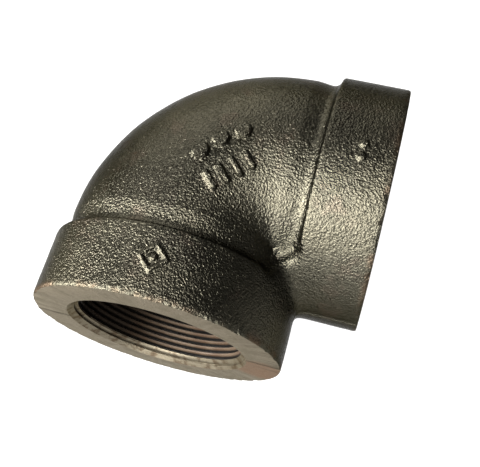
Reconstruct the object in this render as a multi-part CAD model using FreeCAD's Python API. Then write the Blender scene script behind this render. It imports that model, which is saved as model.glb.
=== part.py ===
"""Malleable iron 90 degree threaded elbow, class 300, nominal size 2.

The fitting lies on its side.  Its two ports are level: the front port leaves
along -Y and the side port along +X.  The origin is the middle of the bottom of
the bounding box, so the fitting rests on Z = 0.  All lengths are millimetres.
"""

import FreeCAD
import Part
import math
import os

# --- driving dimensions of the casting ---------------------------------------
CENTRE_TO_END = 63.5
BAND_RADIUS = 42.9
BAND_WIDTH = 23.0
BEND_RADIUS = 40.1
BEND_CENTRE_LINE = 32.4
PASSAGE_RADIUS = 30.9
RIM_ROUNDING = 1.4
SHOULDER_ROUND = 1.5
SHOULDER_FILLET = 4.0
CROTCH_FILLET = 3.0
CROTCH_FADE = 0.8
CROTCH_REACH = 12.5
CROTCH_BLOCK = 30.0
GUSSET_APEX = 17.1
GUSSET_OVERLAP = 3.0

# --- taper pipe thread ---------------------------------------------------------
THREAD_PITCH = 25.4 / 11.5
THREAD_LENGTH = 25.4
THREAD_CREST_RADIUS = 28.28
THREAD_ROOT_RADIUS = 30.05
THREAD_TAPER = 1.0 / 32.0
THREAD_HALF_ANGLE = math.radians(30.0)
THREAD_TURNS = 10
THREAD_SLEEVE_RADIUS = 31.6
MOUTH_RADIUS = 31.0

# --- raised foundry marks ------------------------------------------------------
MARK_HEIGHT = 1.3
MARK_EDGE = 0.3
BUTTON_RADIUS = 2.9
BUTTON_ORBIT = 34.4
BUTTON_ANGLES = (-9.8, 2.7, 15.2)
BAR_WIDTH = 2.2
BAR_LENGTH = 7.0
BAR_ORBIT = 23.8
BAR_OFFSETS = (-8.3, -3.7, 0.9, 5.5)
BADGE_SIDE = 6.8
BADGE_RIM = 1.1
BADGE_HEIGHT = 0.9
BADGE_SETBACK = 12.5
BADGE_OFFSET = 1.9
BADGE_PIP_RADIUS = 1.2
SIZE_PIP_RADIUS = 1.4
SIZE_PIP_SPACING = 4.4
SIZE_PIP_OFFSET = -2.3
SIZE_PIP_SETBACK = 10.6

# --- derived ---------------------------------------------------------------------
SHOULDER_DISTANCE = CENTRE_TO_END - BAND_WIDTH
JOINT_DISTANCE = CENTRE_TO_END - THREAD_LENGTH
SWEEP = 2.0 * CENTRE_TO_END
ORIGIN = FreeCAD.Vector(0, 0, 0)
X_AXIS = FreeCAD.Vector(1, 0, 0)
Y_AXIS = FreeCAD.Vector(0, 1, 0)
Z_AXIS = FreeCAD.Vector(0, 0, 1)
BEND_PIVOT = FreeCAD.Vector(BEND_CENTRE_LINE, -BEND_CENTRE_LINE, 0)
CROSSING = FreeCAD.Vector(
    (BAND_RADIUS - CENTRE_TO_END) / 2.0, (CENTRE_TO_END - BAND_RADIUS) / 2.0, BAND_RADIUS
)


def front_to_side(shape):
    """Mirror a front-port shape across the plane halfway between the ports."""
    return shape.mirror(ORIGIN, X_AXIS + Y_AXIS)


def lathe(profile):
    """Revolve (radius, distance from the crossing) corners about the front axis."""
    points = [FreeCAD.Vector(radius, -distance, 0) for radius, distance in profile]
    face = Part.Face(Part.makePolygon(points + points[:1]))
    return face.revolve(ORIGIN, Y_AXIS, 360)


def arc_edge(centre, radius, start, end):
    """Return an arc in the XY plane between two angles in degrees."""
    circle = Part.Circle(FreeCAD.Vector(*centre, 0), Z_AXIS, radius)
    return Part.Arc(circle, math.radians(start), math.radians(end)).toShape()


def line_edge(start, end):
    """Return a straight edge in the XY plane."""
    return Part.makeLine(FreeCAD.Vector(*start, 0), FreeCAD.Vector(*end, 0))


def front_band_blank():
    """Solid front band with its rounded rim, shoulder round and shoulder fillet."""
    face = -CENTRE_TO_END
    shoulder = -SHOULDER_DISTANCE
    step = BAND_RADIUS - BEND_RADIUS
    lift = math.degrees(math.acos(1.0 - step / (SHOULDER_ROUND + SHOULDER_FILLET)))
    turn = math.radians(lift)
    rim = (BAND_RADIUS - RIM_ROUNDING, face + RIM_ROUNDING)
    crown = (BAND_RADIUS - SHOULDER_ROUND, shoulder - SHOULDER_ROUND)
    reach = (SHOULDER_ROUND + SHOULDER_FILLET) * math.sin(turn)
    foot = (BEND_RADIUS + SHOULDER_FILLET, crown[1] + reach)
    meet = (
        crown[0] + SHOULDER_ROUND * math.cos(turn),
        crown[1] + SHOULDER_ROUND * math.sin(turn),
    )
    end = -BEND_CENTRE_LINE
    outline = [
        line_edge((0, face), (rim[0], face)),
        arc_edge(rim, RIM_ROUNDING, -90, 0),
        line_edge((BAND_RADIUS, rim[1]), (BAND_RADIUS, crown[1])),
        Part.Arc(
            FreeCAD.Vector(BAND_RADIUS, crown[1], 0),
            FreeCAD.Vector(
                crown[0] + SHOULDER_ROUND * math.cos(turn / 2.0),
                crown[1] + SHOULDER_ROUND * math.sin(turn / 2.0),
                0,
            ),
            FreeCAD.Vector(*meet, 0),
        ).toShape(),
        Part.Arc(
            FreeCAD.Vector(*meet, 0),
            FreeCAD.Vector(
                foot[0] - SHOULDER_FILLET * math.cos(turn / 2.0),
                foot[1] - SHOULDER_FILLET * math.sin(turn / 2.0),
                0,
            ),
            FreeCAD.Vector(BEND_RADIUS, foot[1], 0),
        ).toShape(),
        line_edge((BEND_RADIUS, foot[1]), (BEND_RADIUS, end)),
        line_edge((BEND_RADIUS, end), (0, end)),
        line_edge((0, end), (0, face)),
    ]
    return Part.Face(Part.Wire(outline)).revolve(ORIGIN, Y_AXIS, 360)


def quarter_bend(radius):
    """Quarter turn of a round bar about the bend pivot, clipped at the pivot."""
    centre = FreeCAD.Vector(0, -BEND_CENTRE_LINE, 0)
    disc = Part.Face(Part.Wire(Part.makeCircle(radius, centre, Y_AXIS)))
    keep = Part.makeBox(
        SWEEP + BEND_CENTRE_LINE, SWEEP, SWEEP,
        FreeCAD.Vector(-SWEEP, -BEND_CENTRE_LINE - SWEEP / 2.0, -SWEEP / 2.0),
    )
    return disc.common(keep).Faces[0].revolve(BEND_PIVOT, Z_AXIS, -90)


def port_bar(radius, start, end):
    """Round bar on the front axis between two distances from the crossing."""
    return Part.makeCylinder(radius, end - start, FreeCAD.Vector(0, -end, 0), Y_AXIS)


def bisector_half():
    """Big block covering the front port's side of the plane between the ports."""
    corners = [
        FreeCAD.Vector(-SWEEP, SWEEP, -SWEEP),
        FreeCAD.Vector(SWEEP, -SWEEP, -SWEEP),
        FreeCAD.Vector(-SWEEP, -SWEEP, -SWEEP),
    ]
    face = Part.Face(Part.makePolygon(corners + corners[:1]))
    return face.extrude(Z_AXIS * (2.0 * SWEEP))


def front_zone():
    """Everything from the joint plane outwards on the front port's side."""
    slab = Part.makeBox(
        2.0 * SWEEP, SWEEP, 2.0 * SWEEP,
        FreeCAD.Vector(-SWEEP, -JOINT_DISTANCE - SWEEP, -SWEEP),
    )
    return slab.common(bisector_half())


def valley_edges(shape):
    """Find the edges along the valley where the two bands run together."""
    found = []
    for edge in shape.Edges:
        middle = edge.valueAt((edge.FirstParameter + edge.LastParameter) / 2.0)
        if abs(middle.x + middle.y) < MARK_EDGE and middle.x > SHOULDER_DISTANCE - MARK_EDGE:
            if abs(middle.z) < CROTCH_REACH - MARK_EDGE:
                found.append(edge)
    return found


def crotch_web(side):
    """Fillet metal in the valley between the bands, fading out towards one side."""
    band = port_bar(BAND_RADIUS, 0, CENTRE_TO_END)
    pair = band.multiFuse([front_to_side(band)]).removeSplitter()
    block = Part.makeBox(
        CROTCH_BLOCK, CROTCH_BLOCK, CROTCH_REACH,
        FreeCAD.Vector(
            SHOULDER_DISTANCE - CROTCH_BLOCK / 2.0,
            -SHOULDER_DISTANCE - CROTCH_BLOCK / 2.0,
            min(0.0, side * CROTCH_REACH),
        ),
    )
    plain = pair.common(block)
    edge = valley_edges(plain)[0]
    starts_level = abs(edge.valueAt(edge.FirstParameter).z) < MARK_EDGE
    radii = (CROTCH_FILLET, CROTCH_FADE) if starts_level else (CROTCH_FADE, CROTCH_FILLET)
    return plain.makeFillet(radii[0], radii[1], [edge])


def crotch_gusset():
    """Sloping metal that fills the corner where the two shoulders run together."""
    band = port_bar(BAND_RADIUS, 0, CENTRE_TO_END)
    far = SHOULDER_DISTANCE + GUSSET_OVERLAP
    corner = Part.makeBox(far, far, 2.0 * SWEEP, FreeCAD.Vector(0, -far, -SWEEP))
    outward = (X_AXIS - Y_AXIS).normalize()
    along = (X_AXIS + Y_AXIS).normalize()
    start = (X_AXIS - Y_AXIS) * GUSSET_APEX - along * SWEEP
    profile = [start, start + (outward + Z_AXIS) * SWEEP, start + (outward - Z_AXIS) * SWEEP]
    wedge = Part.Face(Part.makePolygon(profile + profile[:1])).extrude(along * (2.0 * SWEEP))
    return band.fuse(front_to_side(band)).removeSplitter().common(corner).common(wedge)


def outer_casting():
    """Whole outside shape of the casting as one closed solid."""
    band = front_band_blank()
    webs = [crotch_web(side) for side in (-1.0, 1.0)] + [crotch_gusset()]
    body = quarter_bend(BEND_RADIUS).multiFuse([band, front_to_side(band)] + webs)
    return body.removeSplitter()


def passage():
    """Cored way through the bend, from joint plane to joint plane."""
    leg = port_bar(PASSAGE_RADIUS, BEND_CENTRE_LINE, JOINT_DISTANCE)
    return quarter_bend(PASSAGE_RADIUS).multiFuse([leg, front_to_side(leg)])


def front_thread():
    """Threaded lining of the front port, its turns drawn as closed rings."""
    mouth = CENTRE_TO_END
    chamfer = MOUTH_RADIUS - THREAD_CREST_RADIUS
    profile = [
        (THREAD_SLEEVE_RADIUS, JOINT_DISTANCE),
        (THREAD_SLEEVE_RADIUS, mouth),
        (MOUTH_RADIUS, mouth),
        (THREAD_CREST_RADIUS, mouth - chamfer),
    ]
    for turn in range(THREAD_TURNS):
        depth = chamfer + THREAD_PITCH * (turn + 0.55)
        root = THREAD_ROOT_RADIUS - depth * THREAD_TAPER
        half = (root - THREAD_CREST_RADIUS) * math.tan(THREAD_HALF_ANGLE)
        profile.append((THREAD_CREST_RADIUS, mouth - depth + half))
        profile.append((root, mouth - depth))
        profile.append((THREAD_CREST_RADIUS, mouth - depth - half))
    profile.append((THREAD_CREST_RADIUS, JOINT_DISTANCE))
    return lathe(profile)


def collar_bore():
    """Space the thread lining fills inside the front band."""
    return port_bar(THREAD_SLEEVE_RADIUS, JOINT_DISTANCE - RIM_ROUNDING, SWEEP)


def bend_direction(angle):
    """Unit direction from the bend pivot, turned from the middle of the bend."""
    turned = math.radians(135.0 - angle)
    return FreeCAD.Vector(math.cos(turned), math.sin(turned), 0)


def bend_point(orbit, angle):
    """Point in the level mid-plane at an orbit and angle about the bend pivot."""
    return BEND_PIVOT + bend_direction(angle) * orbit


def bend_skin(height):
    """Thin layer of the given height over the outside of the bend."""
    return quarter_bend(BEND_RADIUS + height).cut(quarter_bend(BEND_RADIUS))


def upright_bar(centre, along, length, width):
    """Round-ended upright prism used to cut a mark out of a skin layer."""
    across = along.cross(Z_AXIS)
    straight = max(length - width, MARK_EDGE)
    corner = centre - along * (straight / 2.0) - across * (width / 2.0)
    box = Part.Face(Part.makePolygon([
        corner,
        corner + along * straight,
        corner + along * straight + across * width,
        corner + across * width,
        corner,
    ])).extrude(Z_AXIS * SWEEP)
    ends = [
        Part.makeCylinder(width / 2.0, SWEEP, centre + along * (side * straight / 2.0), Z_AXIS)
        for side in (-1.0, 1.0)
    ]
    return box.multiFuse(ends).removeSplitter()


def class_buttons():
    """Row of round raised buttons on top of the bend."""
    skin = bend_skin(MARK_HEIGHT)
    centres = [bend_point(BUTTON_ORBIT, angle) for angle in BUTTON_ANGLES]
    return [
        skin.common(Part.makeCylinder(BUTTON_RADIUS, SWEEP, centre, Z_AXIS))
        for centre in centres
    ]


def class_bars():
    """Row of short raised bars below the buttons, pointing at the crotch."""
    skin = bend_skin(MARK_HEIGHT)
    radial = bend_direction(0.0)
    middle = bend_point(BAR_ORBIT, 0.0)
    across = radial.cross(Z_AXIS)
    return [
        skin.common(upright_bar(middle + across * offset, radial, BAR_LENGTH, BAR_WIDTH))
        for offset in BAR_OFFSETS
    ]


def band_skin(height):
    """Thin layer of the given height over the outside of the front band."""
    layer = port_bar(BAND_RADIUS + height, SHOULDER_DISTANCE, CENTRE_TO_END)
    return layer.cut(port_bar(BAND_RADIUS, SHOULDER_DISTANCE, CENTRE_TO_END))


def upright_diamond(centre, side):
    """Upright square prism standing on a corner, for the badge frame."""
    half = side / math.sqrt(2.0)
    corners = [centre - X_AXIS * half, centre - Y_AXIS * half, centre + X_AXIS * half,
               centre + Y_AXIS * half]
    return Part.Face(Part.makePolygon(corners + corners[:1])).extrude(Z_AXIS * SWEEP)


def front_badge():
    """Raised plain diamond frame and pip on top of the front band."""
    layer = band_skin(BADGE_HEIGHT)
    centre = FreeCAD.Vector(BADGE_OFFSET, BADGE_SETBACK - CENTRE_TO_END, 0)
    frame = upright_diamond(centre, BADGE_SIDE).cut(
        upright_diamond(centre, BADGE_SIDE - 2.0 * BADGE_RIM)
    )
    pip = Part.makeCylinder(BADGE_PIP_RADIUS, SWEEP, centre, Z_AXIS)
    return [layer.common(frame), layer.common(pip)]


def side_size_pips():
    """Two small raised pips on top of the side band."""
    layer = front_to_side(band_skin(BADGE_HEIGHT))
    middle = FreeCAD.Vector(CENTRE_TO_END - SIZE_PIP_SETBACK, SIZE_PIP_OFFSET, 0)
    pips = []
    for side in (-1.0, 1.0):
        centre = middle + Y_AXIS * (side * SIZE_PIP_SPACING / 2.0)
        pips.append(layer.common(Part.makeCylinder(SIZE_PIP_RADIUS, SWEEP, centre, Z_AXIS)))
    return pips


def export(name, shape):
    """Move a shape to the row frame, report it and write its STEP file."""
    placed = shape.copy()
    placed.translate(CROSSING)
    solids = placed.Solids
    placed = solids[0] if len(solids) == 1 else placed
    placed.exportStep(os.path.join("parts", name + ".step"))
    print(name, "solids", len(solids), "valid", placed.isValid(), "volume", round(placed.Volume, 1))


def build():
    """Make every region of the fitting and write it to the parts folder."""
    os.makedirs("parts", exist_ok=True)
    casting = outer_casting()
    zone = front_zone()
    side_zone = front_to_side(zone)
    bore = collar_bore()
    collar = casting.common(zone).cut(bore)
    shell = casting.cut(zone.fuse(side_zone)).cut(passage())
    thread = front_thread()
    export("bend_shell", shell)
    export("front_collar", collar)
    export("side_collar", front_to_side(collar))
    export("front_thread", thread)
    export("side_thread", front_to_side(thread))
    for index, button in enumerate(class_buttons(), start=1):
        export("class_button_%d" % index, button)
    for index, bar in enumerate(class_bars(), start=1):
        export("class_bar_%d" % index, bar)
    frame, pip = front_badge()
    export("badge_frame", frame)
    export("badge_pip", pip)
    for index, size_pip in enumerate(side_size_pips(), start=1):
        export("size_pip_%d" % index, size_pip)


build()
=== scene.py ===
"""Studio model of a class 300 malleable iron threaded elbow, nominal size 2.

The casting is fused from turned and swept bars, softened the way a sand mould softens
metal, roughened, and then machined: faces cut, ports bored and threads screwed in.
"""

from __future__ import annotations

import logging
import math
from dataclasses import dataclass, field
from enum import Enum
from typing import Any, Iterable, Sequence

import bmesh
import bpy
from mathutils import Matrix, Vector, noise

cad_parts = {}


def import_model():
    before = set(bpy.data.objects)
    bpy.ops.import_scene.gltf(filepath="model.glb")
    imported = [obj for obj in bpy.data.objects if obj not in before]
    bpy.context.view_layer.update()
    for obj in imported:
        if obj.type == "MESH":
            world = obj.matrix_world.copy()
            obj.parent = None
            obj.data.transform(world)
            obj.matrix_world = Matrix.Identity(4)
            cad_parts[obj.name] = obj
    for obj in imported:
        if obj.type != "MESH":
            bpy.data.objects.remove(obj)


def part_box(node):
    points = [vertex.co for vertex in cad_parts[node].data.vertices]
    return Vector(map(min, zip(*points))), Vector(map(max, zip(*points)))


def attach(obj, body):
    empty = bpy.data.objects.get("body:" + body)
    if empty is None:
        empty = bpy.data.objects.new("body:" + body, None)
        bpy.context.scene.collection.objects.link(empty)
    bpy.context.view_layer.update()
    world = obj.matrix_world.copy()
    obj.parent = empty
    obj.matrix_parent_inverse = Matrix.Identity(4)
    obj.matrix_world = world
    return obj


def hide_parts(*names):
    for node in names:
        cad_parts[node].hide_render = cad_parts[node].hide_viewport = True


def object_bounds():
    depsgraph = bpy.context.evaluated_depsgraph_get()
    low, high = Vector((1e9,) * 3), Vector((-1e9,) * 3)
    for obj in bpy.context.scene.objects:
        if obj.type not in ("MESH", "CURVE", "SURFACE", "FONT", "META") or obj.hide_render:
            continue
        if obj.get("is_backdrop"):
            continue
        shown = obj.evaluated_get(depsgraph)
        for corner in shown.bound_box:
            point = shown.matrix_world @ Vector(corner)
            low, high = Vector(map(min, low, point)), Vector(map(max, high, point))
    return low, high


log = logging.getLogger("elbow")
MM = 0.001


# ---------------------------------------------------------------------------
# Shader helpers
# ---------------------------------------------------------------------------


class Sock:
    """A shader socket that takes part in Python arithmetic."""

    def __init__(self, graph: "Graph", socket: bpy.types.NodeSocket) -> None:
        """Wrap an output socket.

        Args:
            graph: The graph that new math nodes are added to.
            socket: The output socket to wrap.
        """
        self.graph = graph
        self.socket = socket

    def _math(self, operation: str, *values: Any) -> "Sock":
        """Add one math node.

        Args:
            operation: The math node's operation.
            values: Its inputs in order.

        Returns:
            The node's result.
        """
        return self.graph.node("ShaderNodeMath", {"operation": operation}, dict(enumerate(values)))

    def __add__(self, other: Any) -> "Sock":
        """Add."""
        return self._math("ADD", self, other)

    __radd__ = __add__

    def __mul__(self, other: Any) -> "Sock":
        """Multiply."""
        return self._math("MULTIPLY", self, other)

    __rmul__ = __mul__

    def __sub__(self, other: Any) -> "Sock":
        """Subtract."""
        return self._math("SUBTRACT", self, other)

    def __rsub__(self, other: Any) -> "Sock":
        """Subtract this from a number."""
        return self._math("SUBTRACT", other, self)

    def clamped(self) -> "Sock":
        """Return the value held between 0 and 1."""
        return self.graph.node("ShaderNodeClamp", {}, {"Value": self})

    def ramp(self, low: float, high: float) -> "Sock":
        """Return 0 below low, 1 above high, and a smooth rise between.

        Args:
            low: Where the rise starts.
            high: Where the rise ends.

        Returns:
            The eased value.
        """
        settings = {"interpolation_type": "SMOOTHSTEP"}
        inputs = {"Value": self, "From Min": low, "From Max": high}
        return self.graph.node("ShaderNodeMapRange", settings, inputs)


class Graph:
    """One material's node graph."""

    MIX_FACTOR = 0
    MIX_LOW = 6
    MIX_HIGH = 7
    MIX_RESULT = 2

    def __init__(self, name: str) -> None:
        """Start an empty material.

        Args:
            name: The material's name.
        """
        self.material = bpy.data.materials.new(name)
        self.material.use_nodes = True
        self.tree = self.material.node_tree
        self.tree.nodes.clear()
        self.place = self.node("ShaderNodeTexCoord", {}, {}, output="Object")

    def node(
        self, kind: str, settings: dict[str, Any], inputs: dict[Any, Any], output: Any = None
    ) -> Sock:
        """Add a node, set it up and feed its sockets.

        Args:
            kind: The node's type name.
            settings: Properties, set before anything is linked.
            inputs: Socket name or index to a value or another socket.
            output: The output wanted, by name or index; the first that is live if None.

        Returns:
            The wrapped output.
        """
        made = self.tree.nodes.new(kind)
        for key, value in settings.items():
            setattr(made, key, value)
        for key, value in inputs.items():
            socket = made.inputs[key]
            if isinstance(value, Sock):
                self.tree.links.new(value.socket, socket)
            else:
                socket.default_value = value
        if output is None:
            live = [found for found in made.outputs if found.enabled]
            return Sock(self, live[0]) if live else Sock(self, None)
        return Sock(self, made.outputs[output])

    def grain(self, size: float, detail: float, roughness: float, seed: float) -> Sock:
        """Return cloudy noise with features of one size.

        Args:
            size: Feature size in metres.
            detail: Octaves of finer noise.
            roughness: Strength of the finer octaves.
            seed: A shift that makes two grains differ.

        Returns:
            The noise value, about 0.5 on average.
        """
        settings = {"noise_dimensions": "4D"}
        inputs = {"Vector": self.place, "W": seed, "Scale": 1.0 / size, "Detail": detail,
                  "Roughness": roughness}
        return self.node("ShaderNodeTexNoise", settings, inputs, "Fac")

    def mix(self, factor: Any, low: Any, high: Any) -> Sock:
        """Mix two colours.

        Args:
            factor: 0 gives low, 1 gives high.
            low: A colour or socket.
            high: A colour or socket.

        Returns:
            The mixed colour.
        """
        made = self.tree.nodes.new("ShaderNodeMix")
        made.data_type = "RGBA"
        wanted = {self.MIX_FACTOR: factor, self.MIX_LOW: low, self.MIX_HIGH: high}
        for index, value in wanted.items():
            socket = made.inputs[index]
            if isinstance(value, Sock):
                self.tree.links.new(value.socket, socket)
            else:
                socket.default_value = value
        return Sock(self, made.outputs[self.MIX_RESULT])

    def bump(
        self, height: Sock, distance: float, strength: float, under: Sock | None = None
    ) -> Sock:
        """Turn a height into a normal.

        Args:
            height: Height from 0 to 1.
            distance: What a height of 1 stands for, in metres.
            strength: How strongly it shows.
            under: A normal that this one is laid over.

        Returns:
            The bent normal.
        """
        inputs: dict[str, Any] = {"Height": height, "Distance": distance, "Strength": strength}
        if under is not None:
            inputs["Normal"] = under
        return self.node("ShaderNodeBump", {}, inputs, "Normal")

    def surface(self, **inputs: Any) -> bpy.types.Material:
        """Finish the material with a principled surface.

        Args:
            inputs: Socket names, with underscores for spaces, and their values.

        Returns:
            The finished material.
        """
        named = {key.replace("_", " "): value for key, value in inputs.items()}
        shader = self.node("ShaderNodeBsdfPrincipled", {}, named, "BSDF")
        self.node("ShaderNodeOutputMaterial", {}, {"Surface": shader})
        return self.material


# ---------------------------------------------------------------------------
# Finishes
# ---------------------------------------------------------------------------


def tone(red: float, green: float, blue: float) -> tuple[float, float, float, float]:
    """Turn display levels from 0 to 255 into a linear colour.

    Args:
        red: Red level.
        green: Green level.
        blue: Blue level.

    Returns:
        The linear colour with full alpha.
    """
    levels = [value / 255.0 for value in (red, green, blue)]
    linear = [v / 12.92 if v <= 0.04045 else ((v + 0.055) / 1.055) ** 2.4 for v in levels]
    return (linear[0], linear[1], linear[2], 1.0)


@dataclass(frozen=True)
class OiledCastSkin:
    """The as-cast outside: black annealing scale under a film of oil."""

    mouth: float
    scale: tuple[float, float, float, float] = tone(63, 61, 53)
    dusty: tuple[float, float, float, float] = tone(73, 70, 60)
    warm: tuple[float, float, float, float] = tone(77, 67, 59)
    hollow: tuple[float, float, float, float] = tone(38, 38, 32)
    rust: tuple[float, float, float, float] = tone(78, 59, 45)
    patch_size: float = 22.0 * MM
    spot_size: float = 2.4 * MM
    pebble_size: float = 0.62 * MM
    pebble_depth: float = 0.38 * MM
    fine_size: float = 0.33 * MM
    fine_depth: float = 0.15 * MM
    rim_inner: float = 2.6 * MM
    rim_outer: float = 0.6 * MM
    gloss: float = 0.26

    def make(self) -> bpy.types.Material:
        """Build the material."""
        g = Graph("oiled_cast_skin")
        patches = g.grain(self.patch_size, 3.0, 0.5, 1.0)
        blotch = g.grain(self.patch_size * 0.4, 4.0, 0.6, 4.0)
        spots = g.grain(self.spot_size, 3.0, 0.6, 12.0)
        pebble = g.grain(self.pebble_size, 1.0, 0.45, 7.0)
        fine = g.grain(self.fine_size, 1.5, 0.5, 9.0)
        across = g.node("ShaderNodeSeparateXYZ", {}, {"Vector": g.place}, "X")
        along = g.node("ShaderNodeSeparateXYZ", {}, {"Vector": g.place}, "Y")
        inner, outer = self.mouth - self.rim_inner, self.mouth - self.rim_outer
        rim = (across.ramp(inner, outer) + (0.0 - along).ramp(inner, outer)).clamped()
        colour = g.mix(patches.ramp(0.42, 0.60) * 0.5, self.scale, self.dusty)
        colour = g.mix(blotch.ramp(0.54, 0.68) * 0.3, colour, self.warm)
        colour = g.mix((1.0 - pebble.ramp(0.36, 0.52)) * 0.35, colour, self.hollow)
        colour = g.mix(spots.ramp(0.70, 0.78) * 0.5, colour, self.rust)
        colour = g.mix(rim * blotch.ramp(0.46, 0.60) * 0.35, colour, self.rust)
        rough = self.gloss + patches.ramp(0.35, 0.65) * 0.05 + rim * 0.12
        normal = g.bump(pebble, self.pebble_depth, 1.0)
        normal = g.bump(fine, self.fine_depth, 1.0, normal)
        return g.surface(
            Base_Color=colour, Metallic=1.0, Roughness=rough, Normal=normal,
            Specular_Tint=(0.35, 0.35, 0.35, 1.0),
        )


@dataclass(frozen=True)
class FacedIron:
    """A port's end face, turned flat in the lathe and dulled in storage."""

    name: str
    axis: int
    centre: tuple[float, float, float]
    stain_at: tuple[float, float, float]
    clean: tuple[float, float, float, float] = tone(87, 81, 71)
    dull: tuple[float, float, float, float] = tone(76, 71, 61)
    stained: tuple[float, float, float, float] = tone(86, 67, 54)
    dark: tuple[float, float, float, float] = tone(38, 33, 27)
    ring_pitch: float = 0.32 * MM
    ring_depth: float = 0.03 * MM
    speck_size: float = 0.6 * MM
    speck_depth: float = 0.12 * MM
    seam_core: float = 0.30 * MM
    seam_edge: float = 0.95 * MM
    seam_wander: float = 2.4 * MM
    stain_core: float = 12.5 * MM
    stain_edge: float = 17.5 * MM

    def make(self) -> bpy.types.Material:
        """Build the material."""
        g = Graph(self.name)
        moved = g.node("ShaderNodeVectorMath", {"operation": "SUBTRACT"},
                       {0: g.place, 1: self.centre})
        flat = [1.0, 1.0, 1.0]
        flat[self.axis] = 0.0
        level = g.node("ShaderNodeVectorMath", {"operation": "MULTIPLY"},
                       {0: moved, 1: tuple(flat)})
        radius = g.node("ShaderNodeVectorMath", {"operation": "LENGTH"}, {0: level}, "Value")
        away = g.node("ShaderNodeVectorMath", {"operation": "DISTANCE"},
                      {0: g.place, 1: self.stain_at}, "Value")
        rings = g.node("ShaderNodeTexNoise", {"noise_dimensions": "1D"},
                       {"W": radius, "Scale": 1.0 / self.ring_pitch, "Detail": 2.0}, "Fac")
        patches = g.grain(5.0 * MM, 5.0, 0.65, 2.0)
        specks = g.grain(self.speck_size, 3.0, 0.65, 5.0)
        rise = g.node("ShaderNodeSeparateXYZ", {}, {"Vector": moved}, "Z")
        wander = g.grain(3.0 * MM, 3.0, 0.6, 8.0)
        line = rise + (wander - 0.5) * self.seam_wander
        below = line.ramp(-self.seam_edge, -self.seam_core)
        seam = below * (1.0 - line.ramp(self.seam_core, self.seam_edge))
        stain = 1.0 - (away + patches * (9.0 * MM)).ramp(self.stain_core, self.stain_edge)
        colour = g.mix(patches.ramp(0.44, 0.64), self.clean, self.dull)
        colour = g.mix(stain * 0.85, colour, self.stained)
        colour = g.mix(specks.ramp(0.55, 0.70) * 0.5, colour, self.dark)
        colour = g.mix(seam * 0.85, colour, self.dark)
        rough = 0.46 + patches.ramp(0.35, 0.65) * 0.12
        normal = g.bump(rings, self.ring_depth, 0.5)
        normal = g.bump(specks, self.speck_depth, 1.0, normal)
        return g.surface(
            Base_Color=colour, Metallic=0.85, Roughness=rough, Normal=normal,
            Specular_Tint=(0.5, 0.48, 0.42, 1.0),
        )


@dataclass(frozen=True)
class ChamferIron:
    """The mouth chamfer: cut bright, then handled and nicked."""

    name: str = "chamfer_iron"
    bright: tuple[float, float, float, float] = tone(92, 86, 74)
    brown: tuple[float, float, float, float] = tone(66, 57, 46)
    dark: tuple[float, float, float, float] = tone(30, 26, 20)

    def make(self) -> bpy.types.Material:
        """Build the material."""
        g = Graph(self.name)
        patches = g.grain(3.5 * MM, 4.0, 0.65, 14.0)
        specks = g.grain(0.6 * MM, 3.0, 0.65, 15.0)
        colour = g.mix(patches.ramp(0.46, 0.62), self.bright, self.brown)
        colour = g.mix(specks.ramp(0.55, 0.70) * 0.5, colour, self.dark)
        normal = g.bump(specks, 0.10 * MM, 0.8)
        return g.surface(
            Base_Color=colour, Metallic=0.9, Roughness=0.40, Normal=normal,
            Specular_Tint=(0.45, 0.43, 0.37, 1.0),
        )


@dataclass(frozen=True)
class CutThread:
    """The tapped thread: brown worn crests over black roots, with painted shade in the roots and on
    one side of the bore.
    """

    name: str
    # Centre of the painted shade in the bore.
    painted_shade_at: tuple[float, float, float]
    crest: tuple[float, float, float, float] = tone(68, 56, 44)
    rust: tuple[float, float, float, float] = tone(56, 42, 30)
    black: tuple[float, float, float, float] = tone(12, 10, 8)

    def make(self) -> bpy.types.Material:
        """Build the material."""
        g = Graph(self.name)
        patches = g.grain(9.0 * MM, 4.0, 0.6, 3.0)
        specks = g.grain(0.6 * MM, 3.0, 0.6, 6.0)
        crest_level = g.node("ShaderNodeAttribute", {"attribute_name": "crest"}, {}, "Fac")
        away = g.node("ShaderNodeVectorMath", {"operation": "DISTANCE"},
                      {0: g.place, 1: self.painted_shade_at}, "Value")
        # Painted shade: the bore is blackened round a point low on one side, where the light does
        # not reach, and made glossier there.
        painted_shade = 1.0 - (away + patches * (8.0 * MM)).ramp(22.0 * MM, 46.0 * MM)
        colour = g.mix(patches.ramp(0.42, 0.62), self.crest, self.rust)
        colour = g.mix(specks.ramp(0.52, 0.72) * 0.45, colour, self.black)
        colour = g.mix(painted_shade * 0.92, colour, self.black)
        # Painted shade: the thread roots are blackened, using the crest attribute.
        colour = g.mix(1.0 - crest_level.ramp(0.45, 0.80), colour, self.black)
        normal = g.bump(specks, 0.06 * MM, 0.5)
        return g.surface(Base_Color=colour, Metallic=0.3, Roughness=0.45 - painted_shade * 0.2, Normal=normal)


@dataclass(frozen=True)
class CoredPassage:
    """The rough inside left by the sand core."""

    name: str = "cored_passage_iron"
    soot: tuple[float, float, float, float] = tone(30, 26, 22)
    rust: tuple[float, float, float, float] = tone(62, 46, 34)

    def make(self) -> bpy.types.Material:
        """Build the material."""
        g = Graph(self.name)
        patches = g.grain(8.0 * MM, 5.0, 0.6, 8.0)
        sand = g.grain(0.8 * MM, 3.0, 0.6, 2.0)
        colour = g.mix(patches.ramp(0.45, 0.65), self.soot, self.rust)
        normal = g.bump(sand, 0.25 * MM, 0.6)
        return g.surface(Base_Color=colour, Metallic=0.3, Roughness=0.62, Normal=normal)


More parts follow.
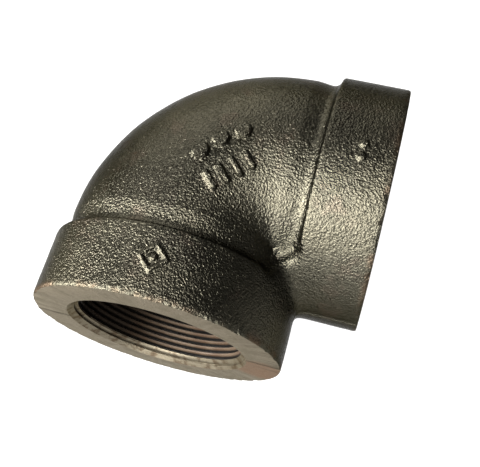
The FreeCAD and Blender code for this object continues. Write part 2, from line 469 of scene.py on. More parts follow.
@dataclass(frozen=True)
class PaleFloor:
    """Plain pale studio floor, lit through from below."""

    name: str = "pale_floor"
    paint: tuple[float, float, float, float] = tone(90, 90, 90)
    worn: tuple[float, float, float, float] = tone(84, 84, 84)

    def make(self) -> bpy.types.Material:
        """Build the material."""
        g = Graph(self.name)
        mottle = g.grain(60.0 * MM, 2.0, 0.5, 1.0)
        colour = g.mix(mottle.ramp(0.3, 0.7), self.paint, self.worn)
        return g.surface(
            Base_Color=colour, Roughness=0.9, Emission_Color=(1.0, 1.0, 1.0, 1.0),
            Emission_Strength=1.0,
        )


class Skin(Enum):
    """Material slots on the casting pieces."""

    CAST = 0
    FACED = 1
    CORED = 2


# ---------------------------------------------------------------------------
# Mesh helpers
# ---------------------------------------------------------------------------


def from_object(source: bpy.types.Object) -> bmesh.types.BMesh:
    """Copy an object's finished mesh, modifiers included.

    Args:
        source: The object to read.

    Returns:
        A new bmesh.
    """
    graph = bpy.context.evaluated_depsgraph_get()
    made = bmesh.new()
    made.from_object(source, graph)
    return made


def place_mesh(shape: bmesh.types.BMesh, name: str) -> bpy.types.Object:
    """Turn a bmesh into a linked object at the origin and free the bmesh.

    Args:
        shape: The finished shape.
        name: The object's name.

    Returns:
        The new object.
    """
    mesh = bpy.data.meshes.new(name)
    shape.to_mesh(mesh)
    shape.free()
    made = bpy.data.objects.new(name, mesh)
    bpy.context.collection.objects.link(made)
    return made


def drop(piece: bpy.types.Object) -> None:
    """Delete a helper object and its mesh.

    Args:
        piece: The object to delete.
    """
    mesh = piece.data
    bpy.data.objects.remove(piece)
    bpy.data.meshes.remove(mesh)


def cut_off(shape: bmesh.types.BMesh, point: Vector, outward: Vector) -> list[bmesh.types.BMEdge]:
    """Saw off everything beyond a plane and leave the cut open.

    Args:
        shape: The shape to cut.
        point: A point on the plane.
        outward: The side that is thrown away.

    Returns:
        The edges round the open cut.
    """
    everything = list(shape.verts) + list(shape.edges) + list(shape.faces)
    cut = bmesh.ops.bisect_plane(
        shape, geom=everything, dist=1e-8, plane_co=point, plane_no=outward, clear_outer=True
    )
    edges = [item for item in cut["geom_cut"] if isinstance(item, bmesh.types.BMEdge)]
    return [edge for edge in edges if edge.is_valid and edge.is_boundary]


def cap(shape: bmesh.types.BMesh, edges: Iterable[bmesh.types.BMEdge], outward: Vector,
        skin: Skin) -> None:
    """Close flat loops of edges with faces, leaving inner loops as holes.

    Args:
        shape: The shape to close.
        edges: The loops' edges, all in one plane.
        outward: The plane's outward direction.
        skin: The slot of the new faces.
    """
    filled = bmesh.ops.triangle_fill(
        shape, use_beauty=True, use_dissolve=False, edges=list(edges), normal=outward
    )
    for face in (item for item in filled["geom"] if isinstance(item, bmesh.types.BMFace)):
        face.material_index = skin.value
        if face.normal.dot(outward) < 0.0:
            face.normal_flip()


# ---------------------------------------------------------------------------
# The casting
# ---------------------------------------------------------------------------


@dataclass
class RaisedMark:
    """One plain raised mark: a disc or a round-ended bar seen from above."""

    centre: Vector
    height: float
    half_width: float
    half_length: float = 0.0
    along: Vector = field(default_factory=lambda: Vector((1.0, 0.0)))
    draft: float = 0.55 * MM

    def lift(self, x: float, y: float) -> float:
        """Return how far the mark raises the skin at a point.

        Args:
            x: Position in the level plane.
            y: Position in the level plane.

        Returns:
            The lift in metres.
        """
        offset_x, offset_y = x - self.centre.x, y - self.centre.y
        run = offset_x * self.along.x + offset_y * self.along.y
        side = offset_y * self.along.x - offset_x * self.along.y
        run = max(abs(run) - self.half_length, 0.0)
        distance = math.hypot(run, side)
        inside = (self.half_width - distance) / self.draft
        if inside <= 0.0:
            return 0.0
        ease = min(inside, 1.0)
        return self.height * ease * ease * (3.0 - 2.0 * ease)


@dataclass
class Foundry:
    """Plain raised marks that stand where a maker casts class, size and works marks."""

    crossing: Vector
    height: float = 1.55 * MM
    badge_height: float = 0.85 * MM
    spread: float = 0.2 * MM
    bar_half_width: float = 1.25 * MM
    bar_half_length: float = 2.5 * MM
    pip_half_width: float = 1.45 * MM
    frame_half_width: float = 0.8 * MM
    frame_inset: float = 0.5 * MM
    frame_draft: float = 0.5 * MM
    pip_draft: float = 0.6 * MM

    def on_bend(self) -> list[RaisedMark]:
        """Return the buttons and bars on top of the bend."""
        marks = []
        for index in (1, 2, 3):
            low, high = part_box("class_button_%d" % index)
            middle = (Vector(low) + Vector(high)) / 2.0 - self.crossing
            reach = (high[0] - low[0]) / 2.0
            marks.append(RaisedMark(middle.xy, self.height, reach + self.spread))
        slant = Vector((1.0, -1.0)).normalized()
        for index in (1, 2, 3, 4):
            low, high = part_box("class_bar_%d" % index)
            middle = (Vector(low) + Vector(high)) / 2.0 - self.crossing
            marks.append(RaisedMark(
                middle.xy, self.height, self.bar_half_width, self.bar_half_length, slant,
            ))
        return marks

    def on_front_band(self) -> list[RaisedMark]:
        """Return the diamond's four sides and its pip on top of the front band."""
        low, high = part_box("badge_frame")
        middle = ((Vector(low) + Vector(high)) / 2.0 - self.crossing).xy
        reach = (high[0] - low[0]) / 2.0 / math.sqrt(2.0) - self.frame_inset
        marks = [RaisedMark(middle, self.badge_height, self.pip_half_width, draft=self.pip_draft)]
        for corner in range(4):
            out = Vector((1.0, 1.0)).normalized()
            out.rotate(Matrix.Rotation(corner * math.pi / 2.0, 2))
            marks.append(RaisedMark(
                middle + out * reach, self.badge_height, self.frame_half_width, reach,
                out.orthogonal(), self.frame_draft,
            ))
        return marks

    def on_side_band(self) -> list[RaisedMark]:
        """Return the two pips on top of the side band."""
        marks = []
        for index in (1, 2):
            low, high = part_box("size_pip_%d" % index)
            middle = ((Vector(low) + Vector(high)) / 2.0 - self.crossing).xy
            reach = (high[0] - low[0]) / 2.0 + self.spread
            marks.append(RaisedMark(middle, self.badge_height, reach, draft=self.pip_draft))
        return marks


@dataclass
class Casting:
    """The iron body: two banded legs and a quarter bend, cast in one."""

    crossing: Vector
    centre_to_end: float
    joint_distance: float
    band_radius: float
    band_width: float = 23.0 * MM
    bend_radius: float = 40.0 * MM
    bend_centre_line: float = 32.4 * MM
    passage_radius: float = 30.9 * MM
    mouth_radius: float = 31.0 * MM
    rim_round: float = 1.5 * MM
    shoulder_round: float = 0.8 * MM
    shoulder_fillet: float = 3.4 * MM
    waist_dip: float = 1.0 * MM
    facing_stock: float = 0.6 * MM
    gusset_apex: float = 19.4 * MM
    gusset_reach: float = 10.0 * MM
    valley_reach: float = 16.0 * MM
    mould_shift: tuple[float, float] = (-0.05 * MM, -0.40 * MM)
    flash_height: float = 0.12 * MM
    flash_width: float = 0.6 * MM
    bite_depth: float = 0.85 * MM
    bite_reach: float = 2.2 * MM
    bite_past_face: float = 0.35 * MM
    crease: float = math.radians(50.0)
    voxel: float = 0.37 * MM
    soft_passes: int = 4
    crotch_passes: int = 95
    crotch_reach: float = 7.5 * MM
    gusset_passes: int = 75
    circle_steps: int = 256

    def __post_init__(self) -> None:
        """Work out what follows from the driving sizes."""
        self.pivot = Vector((self.bend_centre_line, -self.bend_centre_line, 0.0))
        self.shoulder = self.centre_to_end - self.band_width
        self.foundry = Foundry(self.crossing)

    def bar(self, shape: bmesh.types.BMesh, out: Vector, radius: float, start: float,
            end: float) -> None:
        """Add a plain round bar on a port axis.

        Args:
            shape: The shape to add to.
            out: The port's outward direction.
            radius: The bar's radius.
            start: Its near end's distance from the crossing.
            end: Its far end's distance from the crossing.
        """
        turn = out.to_track_quat("Z", "Y").to_matrix().to_4x4()
        middle = Matrix.Translation(out * ((start + end) / 2.0))
        bmesh.ops.create_cone(
            shape, cap_ends=True, segments=self.circle_steps, radius1=radius, radius2=radius,
            depth=end - start, matrix=middle @ turn,
        )

    def circle(self, shape: bmesh.types.BMesh, out: Vector, distance: float,
               radius: float) -> list[bmesh.types.BMEdge]:
        """Add an open circle of edges round a port axis.

        Args:
            shape: The shape to add to.
            out: The port's outward direction.
            distance: The circle's distance from the crossing.
            radius: Its radius.

        Returns:
            The new edges.
        """
        turn = out.to_track_quat("Z", "Y").to_matrix().to_4x4()
        made = bmesh.ops.create_circle(
            shape, cap_ends=False, segments=self.circle_steps, radius=radius,
            matrix=Matrix.Translation(out * distance) @ turn,
        )
        return list(dict.fromkeys(edge for vert in made["verts"] for edge in vert.link_edges))

    def blank(self, shape: bmesh.types.BMesh, out: Vector) -> None:
        """Add a leg turned from one outline: rim, band, shoulder and stem.

        Args:
            shape: The shape to add to.
            out: The leg's outward direction.
        """
        waist = self.bend_radius - self.waist_dip
        step = self.band_radius - waist
        turn = math.acos(1.0 - step / (self.shoulder_round + self.shoulder_fillet))
        upper = self.shoulder_round * math.tan(turn / 2.0)
        lower = self.shoulder_fillet * math.tan(turn / 2.0)
        brow = self.shoulder + self.shoulder_round - upper
        foot = brow - step / math.tan(turn)
        end = self.centre_to_end + self.facing_stock
        leg = bmesh.new()
        corners = [
            (0.0, end, 0.0), (self.band_radius, end, self.rim_round),
            (self.band_radius, brow, upper * 0.99), (waist, foot, lower * 0.99),
            (self.bend_radius, self.bend_centre_line, 0.0), (0.0, self.bend_centre_line, 0.0),
        ]
        made = [
            (leg.verts.new((radius, 0.0, place)), round_off) for radius, place, round_off in corners
        ]
        leg.faces.new([vert for vert, _ in made])
        for vert, round_off in made:
            if round_off:
                bmesh.ops.bevel(
                    leg, geom=[vert], offset=round_off, offset_type="OFFSET", segments=8,
                    profile=0.5, affect="VERTICES", material=-1,
                )
        bmesh.ops.delete(leg, geom=list(leg.faces), context="FACES_ONLY")
        spine = [e for e in leg.edges if max(v.co.x for v in e.verts) < 1e-6]
        bmesh.ops.delete(leg, geom=spine, context="EDGES")
        bmesh.ops.spin(
            leg, geom=list(leg.verts) + list(leg.edges), cent=(0.0, 0.0, 0.0), axis=(0.0, 0.0, 1.0),
            angle=math.tau, steps=self.circle_steps, use_merge=True,
        )
        bmesh.ops.remove_doubles(leg, verts=list(leg.verts), dist=1e-6)
        bmesh.ops.recalc_face_normals(leg, faces=list(leg.faces))
        leg.transform(out.to_track_quat("Z", "Y").to_matrix().to_4x4())
        self.join(shape, leg)

    def gusset(self, shape: bmesh.types.BMesh, out: Vector) -> None:
        """Add one leg's share of the metal that fills the corner between the shoulders.

        Args:
            shape: The shape to add to.
            out: The leg's outward direction.
        """
        lens = bmesh.new()
        start = self.shoulder - self.gusset_reach
        self.bar(lens, out, self.band_radius, start, self.shoulder + self.shoulder_round)
        corner = Vector((1.0, -1.0, 0.0)) * self.gusset_apex
        for rise in (1.0, -1.0):
            inward = Vector((-1.0, 1.0, rise * math.sqrt(2.0))).normalized()
            cap(lens, cut_off(lens, corner, inward), inward, Skin.CAST)
        self.join(shape, lens)

    @staticmethod
    def join(shape: bmesh.types.BMesh, extra: bmesh.types.BMesh) -> None:
        """Add one shape to another and free the added one.

        Args:
            shape: The shape that grows.
            extra: The shape that is used up.
        """
        carrier = bpy.data.meshes.new("carrier")
        extra.to_mesh(carrier)
        extra.free()
        shape.from_mesh(carrier)
        bpy.data.meshes.remove(carrier)

    def quarter(self, shape: bmesh.types.BMesh) -> None:
        """Add the solid quarter bend by sweeping a clipped disc about the pivot.

        Args:
            shape: The shape to add to.
        """
        disc = bmesh.new()
        bmesh.ops.create_circle(
            disc, cap_ends=False, segments=self.circle_steps, radius=self.bend_radius,
            matrix=Matrix.Translation((0.0, -self.bend_centre_line, 0.0))
            @ Matrix.Rotation(math.radians(90.0), 4, "X"),
        )
        bmesh.ops.bisect_plane(
            disc, geom=list(disc.verts) + list(disc.edges), dist=1e-8, plane_co=self.pivot,
            plane_no=(1.0, 0.0, 0.0), clear_outer=True,
        )
        ends = [v for v in disc.verts if len(v.link_edges) == 1]
        disc.edges.new(ends)
        bmesh.ops.contextual_create(disc, geom=list(disc.edges))
        bmesh.ops.spin(
            disc, geom=list(disc.verts) + list(disc.edges) + list(disc.faces), cent=self.pivot,
            axis=(0.0, 0.0, 1.0), angle=math.radians(-90.0), steps=96, use_merge=False,
        )
        bmesh.ops.remove_doubles(disc, verts=list(disc.verts), dist=1e-7)
        bmesh.ops.dissolve_degenerate(disc, edges=list(disc.edges), dist=1e-7)
        bmesh.ops.holes_fill(disc, edges=list(disc.edges), sides=0)
        bmesh.ops.recalc_face_normals(disc, faces=list(disc.faces))
        self.join(shape, disc)

    def pour(self) -> bmesh.types.BMesh:
        """Fuse the bars and the bend into one skin with evenly spaced points.

        Returns:
            The solid casting, before machining.
        """
        bars = bmesh.new()
        for out in (Vector((0.0, -1.0, 0.0)), Vector((1.0, 0.0, 0.0))):
            self.blank(bars, out)
            self.gusset(bars, out)
        self.quarter(bars)
        pattern = place_mesh(bars, "pattern")
        fuse = pattern.modifiers.new("fuse", "REMESH")
        fuse.mode = "VOXEL"
        fuse.voxel_size = self.voxel
        solid = from_object(pattern)
        drop(pattern)
        return solid

    def soften(self, solid: bmesh.types.BMesh) -> None:
        """Round every corner as a sand mould does, and the crotch most of all.

        Args:
            solid: The casting to soften.
        """
        axes = {"use_axis_x": True, "use_axis_y": True, "use_axis_z": True}
        for _ in range(self.soft_passes):
            bmesh.ops.smooth_vert(solid, verts=solid.verts, factor=0.5, **axes)
        for passes, reach in (
            (self.gusset_passes, self.gusset_reach),
            (self.crotch_passes, self.crotch_reach),
        ):
            crotch = [v for v in solid.verts if self.near_crotch(v.co, reach)]
            for _ in range(passes):
                bmesh.ops.smooth_vert(solid, verts=crotch, factor=0.5, **axes)
        solid.normal_update()

    def near_crotch(self, point: Vector, reach: float) -> bool:
        """Tell whether a point lies in the valley between the two legs.

        Args:
            point: The point.
            reach: How far from the valley's middle still counts.

        Returns:
            True if it is in the valley.
        """
        near_corner = point.x - point.y > 2.0 * self.shoulder - self.valley_reach
        return abs(point.x + point.y) < reach and near_corner

    def roughen(self, solid: bmesh.types.BMesh) -> None:
        """Give the skin its sand texture, flash line and raised marks.

        Args:
            solid: The casting to roughen.
        """
        bend_marks = self.foundry.on_bend()
        front_marks = self.foundry.on_front_band()
        side_marks = self.foundry.on_side_band()
        for vert in solid.verts:
            point = vert.co
            lift = self.sand(point) + self.flash(vert) - self.rim_wear(point)
            if point.z > self.bend_radius / 2.0:
                marks = bend_marks
                if point.y < -self.shoulder:
                    marks = front_marks
                elif point.x > self.shoulder:
                    marks = side_marks
                lift += max(mark.lift(point.x, point.y) for mark in marks)
            vert.co = point + vert.normal * lift
        solid.normal_update()

    @staticmethod
    def sand(point: Vector) -> float:
        """Return the height of the sand texture at a point.

        Args:
            point: The point on the skin.

        Returns:
            The height in metres.
        """
        mm = point / MM
        swell = noise.noise(mm / 15.0) * 0.15 + noise.noise(mm / 5.0) * 0.035
        pebble = noise.noise(mm / 1.7) * 0.012 + noise.noise(mm / 0.9) * 0.03
        return (swell + pebble - 0.1) * MM

    def rim_wear(self, point: Vector) -> float:
        """Return how deep knocks have bitten into the rim at a point.

        Args:
            point: The point on the skin.

        Returns:
            The depth in metres.
        """
        reach = max(point.x, -point.y) - self.centre_to_end
        near = min(max(1.0 + reach / self.bite_reach, 0.0), 1.0)
        if near == 0.0 or reach > self.bite_past_face:
            return 0.0
        bite = noise.noise(point / (3.4 * MM)) + noise.noise(point / (1.4 * MM)) * 0.5
        return max(bite, 0.0) * near * near * self.bite_depth

    def flash(self, vert: bmesh.types.BMVert) -> float:
        """Return the lift from the mould halves' ridge and their slight shift.

        Args:
            vert: A point of the skin.

        Returns:
            The lift in metres.
        """
        height = vert.co.z / self.flash_width
        ridge = math.exp(-height * height) * self.flash_height
        below = min(max(0.5 - height, 0.0), 1.0)
        shift = vert.normal.x * self.mould_shift[0] + vert.normal.y * self.mould_shift[1]
        return ridge + below * shift

    def collar(self, solid: bmesh.types.BMesh, out: Vector, name: str) -> bpy.types.Object:
        """Cut one band off the casting, face it and bore it.

        Args:
            solid: The whole casting, left as it is.
            out: The port's outward direction.
            name: The piece's name.

        Returns:
            The finished band.
        """
        band = solid.copy()
        other = Vector((1.0, 0.0, 0.0)) if abs(out.y) > 0.5 else Vector((0.0, -1.0, 0.0))
        split = (other - out).normalized()
        cap(band, cut_off(band, Vector(), split), split, Skin.CAST)
        inner = cut_off(band, out * self.joint_distance, -out)
        inner_ring = self.circle(band, out, self.joint_distance, self.mouth_radius)
        cap(band, inner + inner_ring, -out, Skin.CORED)
        outer = cut_off(band, out * self.centre_to_end, out)
        outer_ring = self.circle(band, out, self.centre_to_end, self.mouth_radius)
        cap(band, outer + outer_ring, out, Skin.FACED)
        wall = bmesh.ops.bridge_loops(band, edges=inner_ring + outer_ring)
        for face in wall["faces"]:
            face.material_index = Skin.CORED.value
        return self.finish(band, name)

    def bend(self, solid: bmesh.types.BMesh) -> bmesh.types.BMesh:
        """Cut both bands off the casting and core the passage.

        Args:
            solid: The whole casting, left as it is.

        Returns:
            The closed hollow bend.
        """
        shell = solid.copy()
        front, side = Vector((0.0, -1.0, 0.0)), Vector((1.0, 0.0, 0.0))
        tube = bmesh.new()
        start = self.circle(tube, front, self.joint_distance, self.passage_radius)
        straight = self.joint_distance - self.bend_centre_line
        run = self.slide(tube, start, -front * straight)
        turned = bmesh.ops.spin(
            tube, geom=run, cent=self.pivot, axis=(0.0, 0.0, 1.0), angle=math.radians(-90.0),
            steps=72, use_merge=False,
        )
        run = [item for item in turned["geom_last"] if isinstance(item, bmesh.types.BMEdge)]
        self.slide(tube, run, side * straight)
        for face in tube.faces:
            face.material_index = Skin.CORED.value
        for out in (front, side):
            sawn = cut_off(shell, out * self.joint_distance, out)
            hole = self.circle(shell, out, self.joint_distance, self.passage_radius)
            cap(shell, sawn + hole, out, Skin.CORED)
        self.join(shell, tube)
        seam = [vert for vert in shell.verts if vert.is_boundary]
        bmesh.ops.remove_doubles(shell, verts=seam, dist=0.02 * MM)
        return shell

    @staticmethod
    def slide(shape: bmesh.types.BMesh, edges: list[bmesh.types.BMEdge],
              move: Vector) -> list[bmesh.types.BMEdge]:
        """Extrude a loop of edges straight along.

        Args:
            shape: The shape the edges are in.
            edges: The loop.
            move: How far the new loop goes.

        Returns:
            The new loop's edges.
        """
        made = bmesh.ops.extrude_edge_only(shape, edges=edges)["geom"]
        verts = [item for item in made if isinstance(item, bmesh.types.BMVert)]
        bmesh.ops.translate(shape, verts=verts, vec=move)
        fresh = set(verts)
        loops = [item for item in made if isinstance(item, bmesh.types.BMEdge)]
        return [edge for edge in loops if edge.verts[0] in fresh and edge.verts[1] in fresh]

    def half(self, shell: bmesh.types.BMesh, up: Vector, name: str) -> bpy.types.Object:
        """Take one mould half of the bend.

        Args:
            shell: The hollow bend, left as it is.
            up: The side that is kept.
            name: The piece's name.

        Returns:
            The finished half.
        """
        part = shell.copy()
        cap(part, cut_off(part, Vector(), -up), -up, Skin.CORED)
        return self.finish(part, name)

    def finish(self, shape: bmesh.types.BMesh, name: str) -> bpy.types.Object:
        """Move a piece to its place, close its seams and shade it.

        Args:
            shape: The piece's shape, used up.
            name: The piece's name.

        Returns:
            The placed object.
        """
        bmesh.ops.remove_doubles(shape, verts=list(shape.verts), dist=1e-8)
        bmesh.ops.recalc_face_normals(shape, faces=list(shape.faces))
        bmesh.ops.translate(shape, verts=list(shape.verts), vec=self.crossing)
        for face in shape.faces:
            face.smooth = face.material_index != Skin.FACED.value
        piece = place_mesh(shape, name)
        piece.data.set_sharp_from_angle(angle=self.crease)
        return piece


# ---------------------------------------------------------------------------
# The cut threads
# ---------------------------------------------------------------------------


@dataclass
class PortThread:
    """A right-hand taper pipe thread with its mouth chamfer, as a thin lining."""

    length: float
    mouth_radius: float
    crest_radius: float = 28.28 * MM
    root_radius: float = 30.05 * MM
    pitch: float = 25.4 * MM / 11.5
    taper: float = 1.0 / 32.0
    root_share: float = 0.10
    crest_share: float = 0.26
    flank_steps: int = 4
    steps_per_turn: int = 216
    chamfer_depth: float = 3.2 * MM
    chamfer_slack: float = 0.03 * MM
    crease: float = math.radians(38.0)

    def turn_profile(self) -> list[tuple[float, float]]:
        """Return radius and height corners for one pitch of the thread."""
        corners = [(self.root_radius, 0.0), (self.root_radius, self.root_share / 2.0)]
        rise = 0.5 - (self.root_share + self.crest_share) / 2.0
        for step in range(1, self.flank_steps + 1):
            share = step / self.flank_steps
            radius = self.root_radius + (self.crest_radius - self.root_radius) * share
            corners.append((radius, self.root_share / 2.0 + rise * share))
        corners += [(radius, 1.0 - height) for radius, height in reversed(corners)]
        return corners

    def build(self, out: Vector, crossing: Vector, distance: float, name: str) -> bpy.types.Object:
        """Cut the thread and set it in its port.

        Args:
            out: The port's outward direction.
            crossing: Where the port axes cross.
            distance: The mouth's distance from the crossing.
            name: The piece's name.

        Returns:
            The finished lining.
        """
        shape = bmesh.new()
        turns = math.ceil(self.length / self.pitch) + 3
        bottom = -self.length - 2.0 * self.pitch
        corners = [
            shape.verts.new((radius, 0.0, height * self.pitch + bottom))
            for radius, height in self.turn_profile()
        ]
        line = [shape.edges.new(pair) for pair in zip(corners, corners[1:])]
        bmesh.ops.spin(
            shape, geom=corners + line, cent=(0.0, 0.0, 0.0), axis=(0.0, 0.0, 1.0),
            dvec=(0.0, 0.0, self.pitch / self.steps_per_turn), angle=math.tau,
            steps=self.steps_per_turn, use_merge=False,
        )
        first = list(shape.verts) + list(shape.edges) + list(shape.faces)
        for index in range(1, turns):
            copy = bmesh.ops.duplicate(shape, geom=first)["geom"]
            verts = [item for item in copy if isinstance(item, bmesh.types.BMVert)]
            bmesh.ops.translate(shape, verts=verts, vec=(0.0, 0.0, self.pitch * index))
        bmesh.ops.remove_doubles(shape, verts=list(shape.verts), dist=0.01 * MM)
        for vert in shape.verts:
            self.ream(vert)
        up = Vector((0.0, 0.0, 1.0))
        mouth = cut_off(shape, Vector(), up)
        root = cut_off(shape, -up * self.length, -up)
        outer = Casting.slide(shape, mouth, -up * self.length)
        cap(shape, root + outer, -up, Skin.CAST)
        bmesh.ops.recalc_face_normals(shape, faces=list(shape.faces))
        turn = out.to_track_quat("Z", "Y").to_matrix().to_4x4()
        placed = Matrix.Translation(crossing + out * distance) @ turn
        radii = [vert.co.xy.length for vert in shape.verts]
        depths = [-vert.co.z for vert in shape.verts]
        for face in shape.faces:
            middle = face.calc_center_median()
            gap = middle.xy.length - self.mouth_radius - middle.z
            chamfered = gap > -self.chamfer_slack and middle.z > -self.chamfer_depth
            face.material_index = 1 if chamfered else 0
        bmesh.ops.transform(shape, matrix=placed, verts=list(shape.verts))
        for face in shape.faces:
            face.smooth = True
        piece = place_mesh(shape, name)
        piece.data.set_sharp_from_angle(angle=self.crease)
        # Crest share per point, 0 in the root and 1 on the crest; the thread material paints shade
        # into the roots from it.
        crest = piece.data.attributes.new("crest", "FLOAT", "POINT")
        depth_of_cut = self.root_radius - self.crest_radius
        for index, (radius, depth) in enumerate(zip(radii, depths)):
            root_here = self.root_radius - depth * self.taper
            share = (root_here - radius) / depth_of_cut
            crest.data[index].value = min(max(share, 0.0), 1.0)
        return piece

    def ream(self, vert: bmesh.types.BMVert) -> None:
        """Taper one point of the thread, wear it a little and chamfer it at the mouth.

        Args:
            vert: The point to move.
        """
        depth = -vert.co.z
        radius = vert.co.xy.length
        crest_level = noise.noise(vert.co / (2.2 * MM)) * 0.05 * MM
        wanted = max(radius - depth * self.taper + crest_level, self.mouth_radius - depth)
        vert.co.xy *= wanted / radius


# ---------------------------------------------------------------------------
# Studio
# ---------------------------------------------------------------------------


@dataclass
class Studio:
    """Pale floor, soft lights and the camera."""

    crossing: Vector
    floor_height: float
    azimuth: float = math.radians(22.159)
    elevation: float = math.radians(66.048)
    roll: float = math.radians(-7.41)
    aim: tuple[float, float] = (17.024 * MM, -20.206 * MM)
    distance: float = 267.855 * MM
    lens: float = 57.3

    def floor(self) -> bpy.types.Object:
        """Lay the floor the fitting stands on."""
        slab = bmesh.new()
        bmesh.ops.create_grid(
            slab, x_segments=1, y_segments=1, size=3.0,
            matrix=Matrix.Translation((0.0, 0.0, self.floor_height)),
        )
        ground = place_mesh(slab, "floor")
        ground.data.materials.append(PaleFloor().make())
        ground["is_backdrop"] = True
        return ground

    def camera(self) -> bpy.types.Object:
        """Set up the camera and make it the scene's."""
        az, el = self.azimuth, self.elevation
        back = Vector((math.sin(az) * math.cos(el), -math.cos(az) * math.cos(el), math.sin(el)))
        right = Vector((math.cos(az), math.sin(az), 0.0))
        up = back.cross(right)
        turned_right = right * math.cos(self.roll) + up * math.sin(self.roll)
        turned_up = up * math.cos(self.roll) - right * math.sin(self.roll)
        place = self.crossing + Vector((*self.aim, 0.0)) + back * self.distance
        data = bpy.data.cameras.new("camera")
        data.lens = self.lens
        data.sensor_width = 36.0
        data.clip_start = 0.005
        lens = bpy.data.objects.new("camera", data)
        turn = Matrix((turned_right, turned_up, back)).transposed().to_4x4()
        lens.matrix_world = Matrix.Translation(place) @ turn
        bpy.context.collection.objects.link(lens)
        bpy.context.scene.camera = lens
        return lens

    def panel(self, name: str, azimuth: float, elevation: float, size: float, power: float,
              tint: tuple[float, float, float]) -> None:
        """Hang a square soft box a metre from the fitting, facing it.

        Args:
            name: The light's name.
            azimuth: Where it hangs round the fitting, in degrees from the front.
            elevation: How high it hangs, in degrees.
            size: Its side.
            power: Its power in watts.
            tint: Its colour.
        """
        data = bpy.data.lights.new(name, "AREA")
        data.shape = "SQUARE"
        data.size = size
        data.energy = power
        data.color = tint
        light = bpy.data.objects.new(name, data)
        turn, rise = math.radians(azimuth), math.radians(elevation)
        direction = Vector((
            math.sin(turn) * math.cos(rise), -math.cos(turn) * math.cos(rise), math.sin(rise),
        ))
        light.location = self.crossing + direction
        light.rotation_euler = direction.to_track_quat("Z", "Y").to_euler()
        bpy.context.collection.objects.link(light)

    def lights(self) -> None:
        """Hang the soft boxes and set the room's glow."""
        soft = (1.0, 0.985, 0.95)
        self.panel("left_window", -66.0, 20.0, 0.5, 48.0, soft)
        self.panel("main_window", -18.0, 52.0, 0.45, 13.0, soft)
        self.panel("high_front", -45.0, 64.0, 0.5, 8.0, soft)
        self.panel("high_middle", 0.0, 64.0, 0.5, 10.0, soft)
        self.panel("front_left", -30.0, 40.0, 0.5, 12.0, soft)
        self.panel("front_low", 0.0, 16.0, 0.5, 7.0, soft)
        self.panel("back_fill", 210.0, 16.0, 0.8, 9.0, soft)
        room = bpy.data.worlds.new("room")
        room.use_nodes = True
        glow = room.node_tree.nodes["Background"]
        glow.inputs["Color"].default_value = (1.0, 1.0, 1.0, 1.0)
        glow.inputs["Strength"].default_value = 0.12
        bpy.context.scene.world = room
        bpy.context.scene.view_settings.view_transform = "Standard"


# ---------------------------------------------------------------------------
# Assembly
# ---------------------------------------------------------------------------


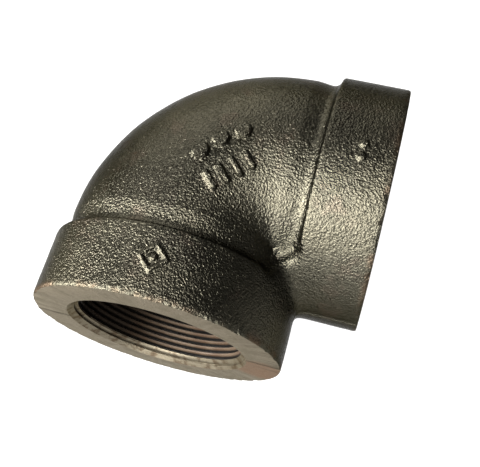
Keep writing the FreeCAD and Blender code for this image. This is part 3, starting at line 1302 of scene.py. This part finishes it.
@dataclass
class Elbow:
    """The whole fitting: bend halves, bands and threads."""

    band_allowance: float = 0.18 * MM
    stain_drop: float = 9.0 * MM
    stain_offset: float = 36.0 * MM
    # Where the thread's painted shade is centred: depth into the port, offset to one side, and
    # drop.
    painted_shade_depth: float = 10.0 * MM
    painted_shade_offset: float = 30.0 * MM
    painted_shade_drop: float = 6.0 * MM

    def __post_init__(self) -> None:
        """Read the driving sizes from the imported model."""
        front_low, front_high = (Vector(corner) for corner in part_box("front_thread"))
        side_low, side_high = (Vector(corner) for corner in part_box("side_thread"))
        self.crossing = Vector((
            (front_low.x + front_high.x) / 2.0,
            (side_low.y + side_high.y) / 2.0,
            (front_low.z + front_high.z) / 2.0,
        ))
        low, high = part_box("front_collar")
        self.casting = Casting(
            crossing=self.crossing,
            centre_to_end=self.crossing.y - front_low.y,
            joint_distance=self.crossing.y - front_high.y,
            band_radius=(high[2] - low[2]) / 2.0 - self.band_allowance,
        )
        self.thread = PortThread(
            length=front_high.y - front_low.y, mouth_radius=self.casting.mouth_radius
        )

    def build(self) -> list[bpy.types.Object]:
        """Build and dress every piece.

        Returns:
            The pieces.
        """
        casting = self.casting
        front, side = Vector((0.0, -1.0, 0.0)), Vector((1.0, 0.0, 0.0))
        solid = casting.pour()
        casting.soften(solid)
        casting.roughen(solid)
        skin = OiledCastSkin(self.crossing.x + casting.centre_to_end).make()
        cored = CoredPassage().make()
        chamfer = ChamferIron().make()
        shell = casting.bend(solid)
        pieces = []
        buttons = ["class_button_%d" % index for index in (1, 2, 3)]
        bars = ["class_bar_%d" % index for index in (1, 2, 3, 4)]
        for name, up, nodes in (
            ("bend_upper_half", Vector((0.0, 0.0, 1.0)), ["bend_shell", *buttons, *bars]),
            ("bend_lower_half", Vector((0.0, 0.0, -1.0)), ["bend_shell"]),
        ):
            piece = casting.half(shell, up, name)
            pieces.append(self.dress(piece, [skin, skin, cored], nodes, "cast_skin"))
        shell.free()
        for name, out, marks in (
            ("front_band", front, ["badge_frame", "badge_pip"]),
            ("side_band", side, ["size_pip_1", "size_pip_2"]),
        ):
            piece = casting.collar(solid, out, name)
            centre = self.crossing + out * casting.centre_to_end
            drop_down = Vector((0.0, 0.0, -self.stain_drop))
            stain = centre + drop_down + out.cross(Vector((0.0, 0.0, -self.stain_offset)))
            faced = FacedIron(name + "_face", 1 if out.y else 0, tuple(centre), tuple(stain)).make()
            collar = name.replace("band", "collar")
            pieces.append(self.dress(piece, [skin, faced, cored], [collar, *marks], "cast_skin"))
        solid.free()
        for name, out, node in (
            ("front_port_thread", front, "front_thread"),
            ("side_port_thread", side, "side_thread"),
        ):
            piece = self.thread.build(out, self.crossing, casting.centre_to_end, name)
            # Centre of the thread's painted shade.
            inner = self.crossing + out * (casting.centre_to_end - self.painted_shade_depth)
            shade_centre = inner + out.cross(Vector((0.0, 0.0, self.painted_shade_offset)))
            shade_centre += Vector((0.0, 0.0, -self.painted_shade_drop))
            cut = CutThread(name + "_iron", tuple(shade_centre)).make()
            pieces.append(self.dress(piece, [cut, chamfer], [node], "cut_thread"))
        return pieces

    @staticmethod
    def dress(piece: bpy.types.Object, finishes: Sequence[bpy.types.Material],
              nodes: Sequence[str], slot: str) -> bpy.types.Object:
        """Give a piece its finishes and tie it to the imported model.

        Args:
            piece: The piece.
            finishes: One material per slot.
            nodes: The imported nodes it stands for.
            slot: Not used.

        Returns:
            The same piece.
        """
        for finish in finishes:
            piece.data.materials.append(finish)
        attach(piece, "root")
        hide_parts(*nodes)
        log.info("%s: %d faces", piece.name, len(piece.data.polygons))
        return piece


def main() -> None:
    """Build the fitting in its studio, with the floor at the model's lowest point."""
    logging.basicConfig(level=logging.INFO, format="%(name)s %(message)s")
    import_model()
    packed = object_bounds()
    elbow = Elbow()
    elbow.build()
    studio = Studio(elbow.crossing, packed[0][2])
    studio.floor()
    studio.camera()
    studio.lights()


if __name__ == "__main__":
    main()
